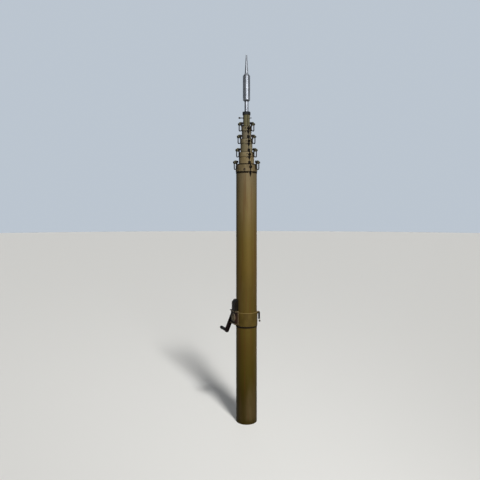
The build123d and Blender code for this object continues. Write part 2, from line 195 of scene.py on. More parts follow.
floor_mesh = bpy.data.meshes.new("floor")
rim = []
for i in range(FLOOR_SIDES):
    turn = 2 * pi * i / FLOOR_SIDES
    rim.append((FLOOR_RADIUS * cos(turn), FLOOR_RADIUS * sin(turn), 0.0))
floor_mesh.from_pydata(rim, [], [list(range(FLOOR_SIDES))])
floor_mesh.materials.append(floor_card)
floor = bpy.data.objects.new("floor", floor_mesh)
scene.collection.objects.link(floor)
print("floor of", len(rim), "sides")

# %% World: fill light and backdrop
FILL = 0.06
FILL_COLOUR = (0.96, 0.98, 1.0, 1.0)
CARD_PALE = (0.5, 0.56, 0.63, 1.0)
CARD_DIM = (0.05, 0.056, 0.064, 1.0)
CARD_FROM = 0.45
CARD_FULL = 0.8
world = bpy.data.worlds.new("studio")
scene.world = world
world.use_nodes = True
sky = world.node_tree
sky.nodes.clear()
fill_light = add_node(sky, "ShaderNodeBackground", {"Color": FILL_COLOUR, "Strength": FILL})
toward = add_node(sky, "ShaderNodeTexCoord", {})["Generated"]
backward = add_node(sky, "ShaderNodeSeparateXYZ", {0: toward})["Y"]
behind = add_node(
    sky, "ShaderNodeMapRange", {"Value": backward, "From Min": CARD_FROM, "From Max": CARD_FULL},
    interpolation_type="SMOOTHSTEP",
)[0]
looked_at = add_node(sky, "ShaderNodeLightPath", {})["Is Camera Ray"]
card_colour = mixed(sky, larger(sky, behind, looked_at), CARD_DIM, CARD_PALE)
backdrop = add_node(sky, "ShaderNodeBackground", {"Color": card_colour, "Strength": 1.0})
either = {0: seen_rays(sky), 1: fill_light[0], 2: backdrop[0]}
choice = add_node(sky, "ShaderNodeMixShader", either)
add_node(sky, "ShaderNodeOutputWorld", {0: choice[0]})
print("fill light", FILL)

# %% Sun, soft box and back light


def add_lamp(name, kind, energy, colour, azimuth, height, distance=0.0, aim=(0.0, 0.0, 0.0)):
    """A lamp in a direction from the point that it is aimed at."""
    lamp = bpy.data.objects.new(name, bpy.data.lights.new(name, kind))
    lamp.data.energy = energy
    lamp.data.color = colour
    toward = outward(azimuth) * cos(radians(height)) + Vector((0, 0, sin(radians(height))))
    lamp.location = Vector(aim) + toward * distance
    lamp.rotation_euler = toward.to_track_quat("Z", "Y").to_euler()
    scene.collection.objects.link(lamp)
    return lamp


sun = add_lamp("sun", "SUN", energy=2.6, colour=(1.0, 0.98, 0.94), azimuth=22.0, height=48.0)
sun.data.angle = radians(9)
soft_box = add_lamp(
    "soft_box", "AREA", energy=20.7, colour=(1.0, 0.99, 0.97), azimuth=18.0, height=8.0, distance=3.4,
    aim=(0, 0, 1.4),
)
soft_box.data.shape = "RECTANGLE"
soft_box.data.size = 0.8
soft_box.data.size_y = 3.0
soft_box.data.spread = radians(84)
soft_box.visible_camera = False
back_light = add_lamp("back_light", "SUN", energy=1.1, colour=(0.95, 0.98, 1.0), azimuth=180.0, height=30.0)
back_light.data.angle = radians(30)
back_light.data.use_shadow = False
back_light.visible_glossy = False
scene.view_settings.view_transform = "Standard"
print("soft box at", [round(v, 2) for v in soft_box.location])

# %% [markdown]
# ## A small kit for finishes
#
# Each finish is one Principled shader fed by a few noises. This class holds the steps that every finish
# needs: a noise at a real size in millimetres, a soft threshold, a mix of two colours, and a bump. Colours
# are written as on a screen, from 0 to 255. Patterns read Object coordinates. They are the model's own
# coordinates here, since every piece sits at the origin, and they stay on the piece when its body moves.

# %% The finish kit


def tone(red, green, blue):
    """A colour given as 0 to 255 on a screen, as the linear values that shaders take."""
    parts = [c / 255 for c in (red, green, blue)]
    return tuple(c / 12.92 if c <= 0.04045 else ((c + 0.055) / 1.055) ** 2.4 for c in parts) + (1.0,)


class Finish:
    """A paint, plastic or metal: one shader and the nodes that feed it."""

    def __init__(self, name, specular=0.5):
        self.material = bpy.data.materials.new(name)
        self.material.use_nodes = True
        self.tree = self.material.node_tree
        self.shader = self.tree.nodes["Principled BSDF"]
        self.shader.inputs["Specular IOR Level"].default_value = specular
        self.place = self.add("ShaderNodeTexCoord", {})["Object"]

    def add(self, kind, inputs, **settings):
        return add_node(self.tree, kind, inputs, **settings)

    def noise(self, size, stretch=(1, 1, 1), detail=3.0, shift=(0, 0, 0)):
        """Values about 0.5, in patches of a size in millimetres, longer where stretch is over 1."""
        scale = tuple(1 / (size * MM * s) for s in stretch)
        spread = self.add("ShaderNodeMapping", {"Vector": self.place, "Scale": scale, "Location": shift})
        inputs = {"Vector": spread[0], "Scale": 1.0, "Detail": detail}
        return self.add("ShaderNodeTexNoise", inputs)[0]

    def between(self, value, low, high):
        """0 under low, 1 over high, and smooth between. With low over high it falls instead."""
        flip = low > high
        inputs = {
            "Value": value, "From Min": min(low, high), "From Max": max(low, high),
            "To Min": 1.0 if flip else 0.0, "To Max": 0.0 if flip else 1.0,
        }
        return self.add("ShaderNodeMapRange", inputs, interpolation_type="SMOOTHSTEP")[0]

    def scaled(self, value, low, high):
        """Low where value is 0, and high where it is 1."""
        return self.add("ShaderNodeMapRange", {"Value": value, "To Min": low, "To Max": high})[0]

    def math(self, kind, first, second=0.0):
        return self.add("ShaderNodeMath", {0: first, 1: second}, operation=kind)[0]

    def dot(self, first, second):
        inputs = {0: first, 1: second}
        return self.add("ShaderNodeVectorMath", inputs, operation="DOT_PRODUCT")["Value"]

    def mix(self, first, second, share):
        """Colour first, going to second as share goes from 0 to 1. Plain colours are as on a screen."""
        ends = [tone(*colour) if isinstance(colour, tuple) else colour for colour in (first, second)]
        return mixed(self.tree, share, *ends)

    def tint(self, colour, other, share, strength):
        """Mixes in another colour by share, and by strength at the most."""
        return self.mix(colour, other, self.math("MULTIPLY", share, strength))

    def height(self):
        """Height above the foot, in metres."""
        return self.add("ShaderNodeSeparateXYZ", {0: self.place})["Z"]

    def beyond(self, radius):
        """1 further from the mast's axis than a radius in metres, and 0 nearer."""
        flat = self.add("ShaderNodeVectorMath", {0: self.place, 1: (1, 1, 0)}, operation="MULTIPLY")
        far = self.add("ShaderNodeVectorMath", {0: flat[0]}, operation="LENGTH")
        return self.between(far["Value"], radius, radius + 0.4 * MM)

    def beside(self, azimuth, half):
        """1 within half millimetres of the upright line at an azimuth on the mast's outside."""
        off = self.math("ABSOLUTE", self.dot(self.place, around(azimuth)))
        near = self.between(off, half * 1.3 * MM, half * 0.8 * MM)
        return self.math("MULTIPLY", near, self.between(self.dot(self.place, outward(azimuth)), 0.0, 1 * MM))

    def level_ring(self, height, half):
        """1 within half millimetres of a height in metres, and 0 from a millimetre further on."""
        off = self.math("ABSOLUTE", self.math("SUBTRACT", self.height(), height))
        return self.between(off, (half + 1.0) * MM, half * MM)

    def edges(self, radius):
        """1 at sharp edges and 0 on flat faces, by how far a rounded normal leaves the real one."""
        rounded = self.add("ShaderNodeBevel", {"Radius": radius * MM}, samples=6)[0]
        true = self.add("ShaderNodeNewGeometry", {})["Normal"]
        return self.between(self.dot(rounded, true), 0.995, 0.9)

    def bump(self, value, depth, under=None):
        """Raises the surface by depth millimetres where value is 1."""
        inputs = {"Height": value, "Distance": depth * MM, "Strength": 1.0}
        if under is not None:
            inputs["Normal"] = under
        return self.add("ShaderNodeBump", inputs)[0]

    def finish(self, colour, roughness, normal, metallic=0.0):
        """Feeds the shader, and returns the material."""
        wanted = {"Base Color": colour, "Roughness": roughness, "Normal": normal, "Metallic": metallic}
        for socket, value in wanted.items():
            feed(self.tree, self.shader.inputs[socket], value)
        print("finish", self.material.name, "with", len(self.tree.nodes), "nodes")
        return self.material


print("olive (93, 75, 31) in a shader:", [round(v, 3) for v in tone(93, 75, 31)[:3]])

# %% [markdown]
# ## Olive paint on the base tube
#
# The tube's paint is lighter towards the head, and browner and darker towards the foot. Part of this is real:
# sun-bleaching at the head, and hands, rain and splashed soil at the foot. Part is painted light: the head is
# lighter as if lit by the open sky, and the foot darker as if shaded by the ground. Over that slow change lie
# long upright streaks, from water that ran down, and a fine grain of dirt. A ramp on height makes the first,
# and noises stretched along Z make the streaks. A small metallic share lets the paint fall off to its edges
# as fast as in the photo.

# %% Paint of the base tube
# Tones by height, from foot to head: partly soil and wear, and partly painted light, lighter at the head for
# the sky and darker at the foot for the ground's shade.
TUBE_TONES_AND_PAINTED_LIGHT = {
    0.0: (50, 40, 4), 0.08: (52, 42, 5), 0.2: (68, 57, 14), 0.3: (76, 61, 20), 0.35: (82, 68, 25),
    0.45: (79, 65, 23), 0.52: (80, 65, 23), 0.6: (91, 74, 31), 0.7: (95, 79, 36), 0.86: (105, 91, 58),
    1.0: (107, 96, 74),
}


def streaks(paint, colour, stain, strength):
    """Lets upright runs of stain show through the colour."""
    runs = paint.noise(16, stretch=(1, 1, 26), detail=4)
    return paint.tint(colour, stain, paint.between(runs, 0.5, 0.72), strength)


def chips(paint, size, rarity):
    """1 in the small spots where the paint has gone."""
    return paint.between(paint.noise(size, detail=6, shift=(3.1, 1.7, 0.4)), rarity, rarity + 0.02)


def base_tube_paint():
    paint = Finish("tube_paint", specular=0.08)
    ramp = paint.add("ShaderNodeValToRGB", {0: paint.math("DIVIDE", paint.height(), head_z[0])})[0]
    stops = ramp.node.color_ramp.elements
    stops.remove(stops[1])
    for position, colour in TUBE_TONES_AND_PAINTED_LIGHT.items():
        stop = stops.new(position) if position else stops[0]
        stop.color = tone(*colour)
    cloud = paint.noise(120, stretch=(1, 1, 3.5), detail=4)
    colour = paint.tint(ramp, (140, 120, 88), paint.between(cloud, 0.42, 0.8), 0.3)
    colour = streaks(paint, colour, (84, 50, 24), 0.5)
    grain = paint.noise(2.2, stretch=(1, 1, 2.5), detail=6)
    colour = paint.tint(colour, (30, 24, 10), paint.between(grain, 0.52, 0.8), 0.35)
    spots = chips(paint, 26, 0.735)
    colour = paint.mix(colour, (46, 38, 27), spots)
    ragged = paint.math("MULTIPLY", paint.noise(22, detail=5), -0.05)
    soil = paint.between(paint.math("ADD", paint.height(), ragged), 0.02, -0.015)
    colour = paint.tint(colour, (52, 43, 8), soil, 0.8)
    peel = paint.bump(paint.noise(1.6, detail=2), 0.04)
    return paint.finish(colour, paint.scaled(cloud, 0.5, 0.64), paint.bump(spots, -0.12, peel), 0.22)


tube_paint = base_tube_paint()

# %% [markdown]
# ## Paint of the sections, bands and bracket
#
# The inner sections keep their olive better, since they spend most of their life inside the tube outside
# them, but the guide bushes leave fine upright rub lines, and the key of each bush leaves a black greased
# track. The bands, the sleeve and the winch bracket are handled most: their paint is worn off along the
# edges, down to pale bare alloy. A bevel node compares a rounded normal with the real one, so the wear
# follows every edge by itself, and a noise breaks it up.
#
# The paint differs a little from level to level. What only one kind of part has, such as black grease and
# painted shade over a band's slit and clamp ears, is added by a small function of its own.

# %% Paint of the sections, bands and bracket
SLIT_AZIMUTH = 21.0
KEY_TRACK_HALF = 2.6
BARE_ALLOY = (176, 168, 150)
SECTION_TONES = (
    ((110, 97, 68), (132, 118, 89)), ((101, 94, 71), (122, 114, 91)),
    ((93, 86, 70), (113, 106, 89)), ((86, 82, 57), (106, 101, 75)),
)
BAND_TONES = (
    ((93, 82, 57), (116, 103, 77)), ((104, 93, 66), (126, 114, 86)),
    ((98, 90, 68), (120, 111, 88)), ((94, 87, 66), (116, 108, 84)),
)


def section_paint(level, dark, pale):
    """A section's paint, with rub lines and the track of its key."""
    paint = Finish(f"section_paint_{level}", specular=0.1)
    cloud = paint.noise(70, stretch=(1, 1, 3), detail=4)
    colour = paint.mix(dark, pale, paint.between(cloud, 0.3, 0.7))
    rub = paint.noise(1.1, stretch=(1, 1, 160), detail=2)
    colour = paint.tint(colour, (158, 148, 128), paint.between(rub, 0.6, 0.78), 0.45)
    colour = streaks(paint, colour, (84, 62, 36), 0.45)
    colour = paint.mix(colour, (60, 52, 40), chips(paint, 18, 0.73))
    smear = paint.between(paint.noise(7, stretch=(1, 1, 3), detail=4), 0.22, 0.46)
    track = paint.math("MULTIPLY", paint.beside(SLIT_AZIMUTH, KEY_TRACK_HALF), smear)
    colour = paint.tint(colour, (26, 18, 8), track, 0.9)
    normal = paint.bump(rub, 0.03, paint.bump(paint.noise(1.6, detail=2), 0.03))
    return paint.finish(colour, paint.scaled(cloud, 0.48, 0.66), normal)


def worn_paint(name, dark, pale, bare, wear, dress=None):
    """Mottled paint with its edges worn to what is under it. Dress adds what only this part has."""
    paint = Finish(name, specular=0.1)
    cloud = paint.noise(34, stretch=(1, 1, 1.6), detail=5)
    colour = paint.mix(dark, pale, paint.between(cloud, 0.3, 0.7))
    colour = streaks(paint, colour, (74, 50, 26), 0.4)
    colour = paint.mix(colour, (52, 43, 30), chips(paint, 14, 0.72))
    rubbed = paint.between(paint.noise(5, detail=5, shift=(0.7, 5.2, 2.9)), 0.66 - wear, 0.7 - wear)
    edge = paint.math("MULTIPLY", paint.edges(1.6), rubbed)
    colour = paint.mix(colour, bare, edge)
    if dress is not None:
        colour = dress(paint, colour)
    normal = paint.bump(edge, -0.08, paint.bump(paint.noise(1.5, detail=2), 0.04))
    return paint.finish(colour, paint.scaled(cloud, 0.5, 0.66), normal, paint.math("MULTIPLY", edge, 0.6))


def band_grease_and_painted_shade(level):
    """Greyer, greener paint on a band's lugs, and black grease with painted shade over its clamp ears and
    slit.
    """
    rim = band_radius[level] + 0.6 * MM

    def dress(paint, colour):
        out = paint.beyond(rim)
        colour = paint.tint(colour, (74, 74, 58), out, 0.8)
        ears = paint.math("MULTIPLY", paint.beside(SLIT_AZIMUTH, 9.0), out)
        line = paint.math("MULTIPLY", paint.beside(SLIT_AZIMUTH, 3.6), 0.85)
        # The near-black over the clamp ears and the slit is partly grease and partly painted shade: the ears'
        # shadow and the dark of the gap.
        return paint.mix(colour, (20, 14, 6), paint.math("MAXIMUM", ears, line))

    return dress


sleeve_low, sleeve_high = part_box("clamp_sleeve")


def sleeve_shade_and_highlight(paint, colour):
    """Lever ears darkened, partly black paint and partly painted shade, and a pale line painted as a
    highlight along the sleeve's top edge.
    """
    # Lever ears darkened: partly black paint, partly painted shade, as they face away from the light.
    colour = paint.mix(colour, (14, 10, 6), paint.beyond(sleeve_high.y + 1.0 * MM))
    # Painted highlight: a pale ring along the sleeve's top edge.
    return paint.tint(colour, (122, 104, 64), paint.level_ring(sleeve_high.z, 2.2), 0.8)


slide_paints = []
band_paints = []
for level in BAND_LEVELS:
    slide_paints.append(section_paint(level + 1, *SECTION_TONES[level]))
    dress = band_grease_and_painted_shade(level)
    band_paints.append(worn_paint(f"band_paint_{level}", *BAND_TONES[level], BARE_ALLOY, 0.14, dress))
sleeve_paint = worn_paint("sleeve_paint", (70, 57, 22), (84, 69, 29), (150, 134, 96), 0.12, sleeve_shade_and_highlight)
# The gear cover's pale paint and widely worn edges are partly a painted highlight, standing for its rim
# catching the light.
cover_paint_and_highlight = worn_paint("cover_paint_and_highlight", (84, 72, 52), (128, 114, 92), (190, 178, 150), 0.3)
bracket_paint = worn_paint("bracket_paint", (34, 27, 14), (52, 42, 24), (176, 160, 130), 0.3)

# %% [markdown]
# ## Black parts and steel
#
# The crank, the lever, the rope guard, the gear case and the head fitting are painted black or nearly so, the
# shackles are blackened steel with a little rust, the guide bushes are black nylon, and the handle is moulded
# plastic. Black is never quite black: each of these keeps a dark grey or brown base with a sheen that varies,
# so that its shape can be read. The lever alone has a pale ring of bare-steel colour on its neck above its
# knob, which is a painted highlight.

# %% Black paint, steel, nylon and plastic
NECK_RISE = 17.0 * MM
LEVER_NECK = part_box("clamp_lever")[0].z + NECK_RISE


def black_paint(name, dark, pale, worn, wear, dress=None):
    """Near-black paint with worn edges and a breath of dust. Dress adds what only this part has."""
    paint = Finish(name, specular=0.08)
    cloud = paint.noise(24, detail=5)
    colour = paint.mix(dark, pale, paint.between(cloud, 0.35, 0.75))
    rubbed = paint.between(paint.noise(4, detail=5, shift=(2.2, 0.3, 1.9)), 0.62 - wear, 0.68 - wear)
    edge = paint.math("MULTIPLY", paint.edges(0.9), rubbed)
    colour = paint.mix(colour, worn, edge)
    colour = paint.tint(colour, (70, 56, 40), paint.between(paint.noise(1.5, detail=4), 0.55, 0.8), 0.06)
    if dress is not None:
        colour = dress(paint, colour)
    peel = paint.bump(paint.noise(1.3, detail=2), 0.03)
    return paint.finish(colour, paint.scaled(cloud, 0.42, 0.6), peel, paint.math("MULTIPLY", edge, 0.5))


def lever_neck_highlight(paint, colour):
    """A pale ring of bare-steel colour on the lever's neck, just above its knob: a painted highlight."""
    # Painted highlight on the lever's neck.
    return paint.mix(colour, (150, 146, 132), paint.level_ring(LEVER_NECK, 4.5))


def dark_steel(name, base, shine):
    """Blackened steel with thin rust in patches, and paler edges."""
    steel = Finish(name)
    patch = steel.between(steel.noise(9, detail=6), 0.5, 0.68)
    colour = steel.tint(base, (92, 52, 28), patch, 0.38)
    colour = steel.tint(colour, (150, 146, 140), steel.edges(0.8), 0.4)
    metal = steel.math("SUBTRACT", 0.85, steel.math("MULTIPLY", patch, 0.6))
    rough = steel.math("ADD", steel.math("MULTIPLY", patch, 0.3), shine)
    return steel.finish(colour, rough, steel.bump(steel.noise(1.2, detail=4), 0.05), metal)


def black_nylon():
    """Nylon with fine upright scuffs."""
    nylon = Finish("black_nylon", specular=0.08)
    scuff = nylon.noise(0.9, stretch=(1, 1, 60), detail=2)
    colour = nylon.mix((7, 4, 2), (22, 15, 9), nylon.between(scuff, 0.52, 0.75))
    return nylon.finish(colour, nylon.scaled(scuff, 0.45, 0.65), nylon.bump(scuff, 0.03))


def handle_plastic():
    """Plastic that hands have dulled in patches."""
    plastic = Finish("handle_plastic", specular=0.1)
    cloud = plastic.noise(14, detail=4)
    colour = plastic.mix((7, 6, 5), (22, 20, 14), plastic.between(cloud, 0.4, 0.75))
    grain = plastic.bump(plastic.noise(0.7, detail=2), 0.02)
    return plastic.finish(colour, plastic.scaled(cloud, 0.42, 0.6), grain)


crank_paint = black_paint("crank_paint", (10, 4, 4), (24, 12, 10), (96, 84, 70), 0.0)
guard_paint = black_paint("guard_paint", (12, 9, 4), (24, 20, 11), (70, 60, 42), 0.0)
lever_paint = black_paint("lever_paint", (6, 4, 2), (18, 14, 8), (110, 100, 84), 0.0, lever_neck_highlight)
fitting_paint = black_paint("fitting_paint", (32, 34, 36), (46, 49, 52), (96, 92, 84), 0.1)
case_paint = black_paint("case_paint", (24, 14, 10), (48, 30, 22), (160, 140, 116), 0.1)
shackle_steel = dark_steel("shackle_steel", (20, 21, 22), 0.46)
screw_steel = dark_steel("screw_steel", (34, 27, 20), 0.5)
bush_nylon = black_nylon()
grip_plastic = handle_plastic()

# %% [markdown]
# ## Turned metal of the air terminal
#
# The terminal is turned on a lathe, so its fine marks run round it. A noise that is very thin along Z and
# long round the axis gives them. They are put in the bump and, faintly, in the roughness. A slow noise dulls
# it here and there. The metal is pale: what makes it look like metal is how it shows the lights and the
# stage's dim sides. Painted shade darkens the body's lower chamfer, its groove and the joint with the
# shoulder, and these dark lines show its shape from far away.

# %% Turned metal
UNDERCUT_TALL = 9.0 * MM
UNDERCUT_FADE = 3.0 * MM
GROOVE_RISE = 80.0 * MM


def turned_metal():
    """Pale bare metal with lathe marks, and painted shade at three heights."""
    metal = Finish("turned_metal")
    marks = metal.noise(0.35, stretch=(300, 300, 1), detail=2)
    dull = metal.noise(30, stretch=(1, 1, 2), detail=4)
    colour = metal.mix((150, 156, 166), (170, 176, 186), metal.between(dull, 0.35, 0.7))
    foot, head = (corner.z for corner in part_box("terminal_body"))
    undercut_top = foot + UNDERCUT_TALL
    under = metal.between(metal.height(), undercut_top + UNDERCUT_FADE, undercut_top)
    above = metal.between(metal.height(), foot - 1 * MM, foot)
    chamfer_shadow = metal.math("MULTIPLY", under, metal.math("MULTIPLY", above, 0.85))
    # Painted shadow on the body's lower chamfer.
    colour = metal.mix(colour, (34, 34, 36), chamfer_shadow)
    # Painted shade at the joint with the shoulder and in the groove.
    colour = metal.tint(colour, (60, 62, 66), metal.level_ring(head, 1.6), 0.8)
    colour = metal.tint(colour, (96, 98, 104), metal.level_ring(foot + GROOVE_RISE, 0.6), 0.7)
    rough = metal.math("ADD", metal.scaled(dull, 0.34, 0.42), metal.math("MULTIPLY", marks, 0.05))
    return metal.finish(colour, rough, metal.bump(marks, 0.0007), 0.85)


terminal_metal = turned_metal()

# %% [markdown]
# ## Dressing the model's own pieces
#
# A CAD node keeps its mesh and only gets a material in its slots. The table below goes by the start of a
# name, and a node that it misses stops the script, so that none keeps the plain colour that it was packed
# with.

# %% Materials for every node
made_in = {
    "base": tube_paint, "foot_ring": bush_nylon, "guide_bush": bush_nylon, "shackle": shackle_steel,
    "lock_pin": shackle_steel, "clamp_sleeve": sleeve_paint, "winch_bracket": bracket_paint,
    "gear_case": case_paint, "clamp_lever": lever_paint, "crank_arm": crank_paint,
    "rope_guard": guard_paint, "head_fitting": fitting_paint, "crank_grip": grip_plastic,
    "terminal": terminal_metal,
}
for level in BAND_LEVELS:
    made_in[f"section_tube_{level + 1}"] = slide_paints[level]
    made_in[f"head_band_{level}"] = band_paints[level]
for name, node in frame["nodes"].items():
    node.data.materials.clear()
    node.data.materials.append(next(made_in[start] for start in made_in if name.startswith(start)))
print("dressed", len(frame["nodes"]), "nodes")

# %% [markdown]
# ## Shapes for small hardware
#
# Screws, nuts and covers are turned or hexagonal. Blender's own cylinder would look like a peg, so each one
# is made as a stack of rings instead: a radius and a height for each ring, with a skin between them. A ring
# can be round or hexagonal with the same number of points, so a round head can have a hexagonal socket sunk
# in it. A seal that lies round the mast is a small closed outline swept round the axis.

# %% Turned shapes, seals and finished pieces
TURN_STEPS = 24
GIRDLE_STEP = 3.0


def hexagon_reach(turn):
    """How far a hexagon with flats at a distance of 1 reaches in a direction."""
    return 1 / cos((turn + pi / 6) % (pi / 3) - pi / 6)


def turned(shape, rings, place):
    """Adds a stack of rings to shape: radius and height in millimetres, and True where it is hexagonal."""
    loops = []
    for radius, height, hexagonal in rings:
        loop = []
        for step in range(TURN_STEPS):
            turn = 2 * pi * step / TURN_STEPS
            reach = radius * (hexagon_reach(turn) if hexagonal else 1)
            corner = Vector((reach * cos(turn), reach * sin(turn), height))
            loop.append(shape.verts.new(place @ (corner * MM)))
        loops.append(loop)
    for lower, upper in zip(loops, loops[1:]):
        for i in range(TURN_STEPS):
            j = (i + 1) % TURN_STEPS
            shape.faces.new((lower[i], lower[j], upper[j], upper[i]))
    shape.faces.new(loops[0][::-1])
    shape.faces.new(loops[-1])


def girdle(shape, outline, start=0.0, span=360.0):
    """Sweeps a closed outline of (radius, height) points in metres round the mast, or part of the way."""
    whole = span >= 360.0
    steps = round(span / GIRDLE_STEP)
    loops = []
    for step in range(steps if whole else steps + 1):
        out = outward(start + span * step / steps)
        loops.append([shape.verts.new(out * radius + Vector((0, 0, height))) for radius, height in outline])
    following = loops[1:] + (loops[:1] if whole else [])
    for first, second in zip(loops, following):
        for i in range(len(outline)):
            j = (i + 1) % len(outline)
            shape.faces.new((first[i], second[i], second[j], first[j]))
    if not whole:
        shape.faces.new(loops[0])
        shape.faces.new(loops[-1][::-1])


def mesh_of(name, shape):
    """Turns a bmesh into a mesh."""
    mesh = bpy.data.meshes.new(name)
    shape.to_mesh(mesh)
    shape.free()
    return mesh


def finished_piece(name, shape, material, body):
    """Turns a bmesh into an object that rides on a body."""
    bmesh.ops.recalc_face_normals(shape, faces=shape.faces)
    mesh = mesh_of(name, shape)
    mesh.materials.append(material)
    mesh.shade_smooth()
    mesh.set_sharp_from_angle(angle=radians(35))
    made = bpy.data.objects.new(name, mesh)
    scene.collection.objects.link(made)
    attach(made, body)
    print(name, "rides on", body, "with", len(mesh.polygons), "faces")


def reach(node, direction):
    """How far a node's surface lies along a direction, in metres."""
    return max(direction.dot(corner.co) for corner in frame["nodes"][node].data.vertices)


print("hexagon corners reach", round(hexagon_reach(pi / 6), 3))

# %% [markdown]
# ## Screws in a ring
#
# Each band has three cheese-head screws at equal angles. So has each inner tube, under its band or, on the
# innermost, at the neck a little below its top. This is a pattern with a rule, so a node tree makes it:
# points on a circle, one screw on each, turned to face outward. The tree's inputs are the screw, the count,
# the radius, the height and the first screw's angle. The result is taken off the modifier as a plain mesh,
# because the finished model can't carry live modifiers.

# %% Node tree: a ring of screws


def new_tree(name, inputs):
    """An empty geometry tree with named inputs. Returns the tree and those inputs."""
    tree = bpy.data.node_groups.new(name, "GeometryNodeTree")
    for label, kind in inputs.items():
        tree.interface.new_socket(label, in_out="INPUT", socket_type=kind)
    tree.interface.new_socket("Geometry", in_out="OUTPUT", socket_type="NodeSocketGeometry")
    return tree, tree.nodes.new("NodeGroupInput").outputs


def end_tree(tree, instances, material):
    """Makes the instances real, gives them their material, and ends the tree."""
    real = add_node(tree, "GeometryNodeRealizeInstances", {0: instances})
    coated = add_node(tree, "GeometryNodeSetMaterial", {"Geometry": real[0], "Material": material})
    add_node(tree, "NodeGroupOutput", {0: coated[0]})
    print("tree", tree.name, "with", len(tree.nodes), "nodes")


def screw_ring_tree():
    tree, given = new_tree("screw_ring", {
        "Screw": "NodeSocketObject", "Material": "NodeSocketMaterial", "Count": "NodeSocketInt",
        "Radius": "NodeSocketFloat", "Height": "NodeSocketFloat", "First angle": "NodeSocketFloat",
    })
    circle = add_node(tree, "GeometryNodeMeshCircle", {"Vertices": given["Count"], "Radius": given["Radius"]})
    lift = add_node(tree, "ShaderNodeCombineXYZ", {"Z": given["Height"]})
    turn = add_node(tree, "ShaderNodeCombineXYZ", {"Z": given["First angle"]})
    placed = add_node(tree, "GeometryNodeTransform", {
        "Geometry": circle[0], "Translation": lift[0], "Rotation": turn[0],
    })
    place = add_node(tree, "GeometryNodeInputPosition", {})
    level = add_node(tree, "ShaderNodeVectorMath", {0: place[0], 1: (1, 1, 0)}, operation="MULTIPLY")
    facing = add_node(tree, "FunctionNodeAlignRotationToVector", {"Vector": level[0]}, axis="Z")
    upright = add_node(tree, "FunctionNodeAlignRotationToVector", {
        "Rotation": facing[0], "Vector": (0, 0, 1),
    }, axis="Y", pivot_axis="Z")
    screw = add_node(tree, "GeometryNodeObjectInfo", {"Object": given["Screw"]})
    ring = add_node(tree, "GeometryNodeInstanceOnPoints", {
        "Points": placed[0], "Instance": screw["Geometry"], "Rotation": upright[0],
    })
    end_tree(tree, ring[0], given["Material"])
    return tree


def grow(tree, values):
    """Runs a node tree with the given inputs, and returns what it makes as a plain mesh."""
    seed = bpy.data.objects.new("seed", bpy.data.meshes.new("seed"))
    scene.collection.objects.link(seed)
    modifier = seed.modifiers.new("grow", "NODES")
    modifier.node_group = tree
    for item in tree.interface.items_tree:
        if item.in_out == "INPUT":
            modifier[item.identifier] = values[item.name]
    ready = seed.evaluated_get(bpy.context.evaluated_depsgraph_get())
    mesh = bpy.data.meshes.new_from_object(ready)
    seed.modifiers.remove(modifier)
    bpy.data.objects.remove(seed)
    return mesh


def pattern_piece(name, meshes, material, body):
    """Joins the meshes of one body's patterns into one finished piece."""
    shape = bmesh.new()
    for mesh in meshes:
        shape.from_mesh(mesh)
        bpy.data.meshes.remove(mesh)
    finished_piece(name, shape, material, body)


screw_ring = screw_ring_tree()

# %% [markdown]
# ### The screws themselves
#
# A cheese-head screw is a round head with a softened rim and a hexagonal socket. Those on the lowest band
# are much larger than those above it, and the ones in the neck are low. Each kind is made once, round local
# Z, with its seat a little under the surface, so that no gap shows where it sits on a curved tube.

# %% Cheese-head screws
SCREW_SEAT = 1.0


def cheese_head(name, width, height):
    """A screw's head, in millimetres, as an object outside the scene for the ring tree to repeat."""
    radius = width / 2
    shape = bmesh.new()
    turned(shape, (
        (radius, -SCREW_SEAT, False), (radius, height * 0.75, False), (radius * 0.86, height, False),
        (radius * 0.5, height, True), (radius * 0.47, height * 0.35, True),
    ), Matrix.Identity(4))
    bmesh.ops.recalc_face_normals(shape, faces=shape.faces)
    return bpy.data.objects.new(name, mesh_of(name, shape))


large_screw = cheese_head("large_screw", 13.0, 4.0)
small_screw = cheese_head("small_screw", 8.0, 3.0)
neck_screw = cheese_head("neck_screw", 7.0, 1.6)
print("screws:", large_screw.name, small_screw.name, neck_screw.name)

# %% Rings of screws on the heads and the neck
FIRST_SCREW = (-10.7, 4.0, -2.5, -12.9)
BAND_SCREW_DROP = (32.0, 10.0, 15.0, 12.0)
BUSH_SCREW_DROP = 35.0
NECK_SCREW_DROP = 27.0
NECK_SCREW_AZIMUTH = 52.0


def ring_of(screw, radius, height, first_azimuth):
    """Three screws round the mast, at a radius and a height in metres."""
    return grow(screw_ring, {
        "Screw": screw, "Material": screw_steel, "Count": 3, "Radius": radius, "Height": height,
        "First angle": radians(first_azimuth - 90),
    })


for level in BAND_LEVELS:
    first = FIRST_SCREW[level]
    kind = small_screw if level else large_screw
    rings = [ring_of(kind, band_radius[level], head_z[level] - BAND_SCREW_DROP[level] * MM, first)]
    if level:
        rings.append(ring_of(kind, tube_radius[level], head_z[level] - BUSH_SCREW_DROP * MM, first))
    pattern_piece(f"head_screws_{level}", rings, screw_steel, tube_bodies[level])
neck = ring_of(neck_screw, tube_radius[4], head_z[4] - NECK_SCREW_DROP * MM, NECK_SCREW_AZIMUTH)
pattern_piece("neck_screws", [neck], screw_steel, tube_bodies[4])

# %% [markdown]
# ## Weld beads on the guy lugs
#
# Each lug is welded to its band along both sides. A weld is a row of small overlapping puddles, never quite
# equal, so a second node tree sets flattened balls along a line and lets a seeded random value change their
# size and place. They take the band's paint, as the real ones were painted over.

# %% Node tree: a weld bead
WELD_DRIFT = 0.3 * MM
PUDDLE_LEAST = (0.85, 0.85, 0.5)
PUDDLE_MOST = (1.15, 1.15, 0.75)


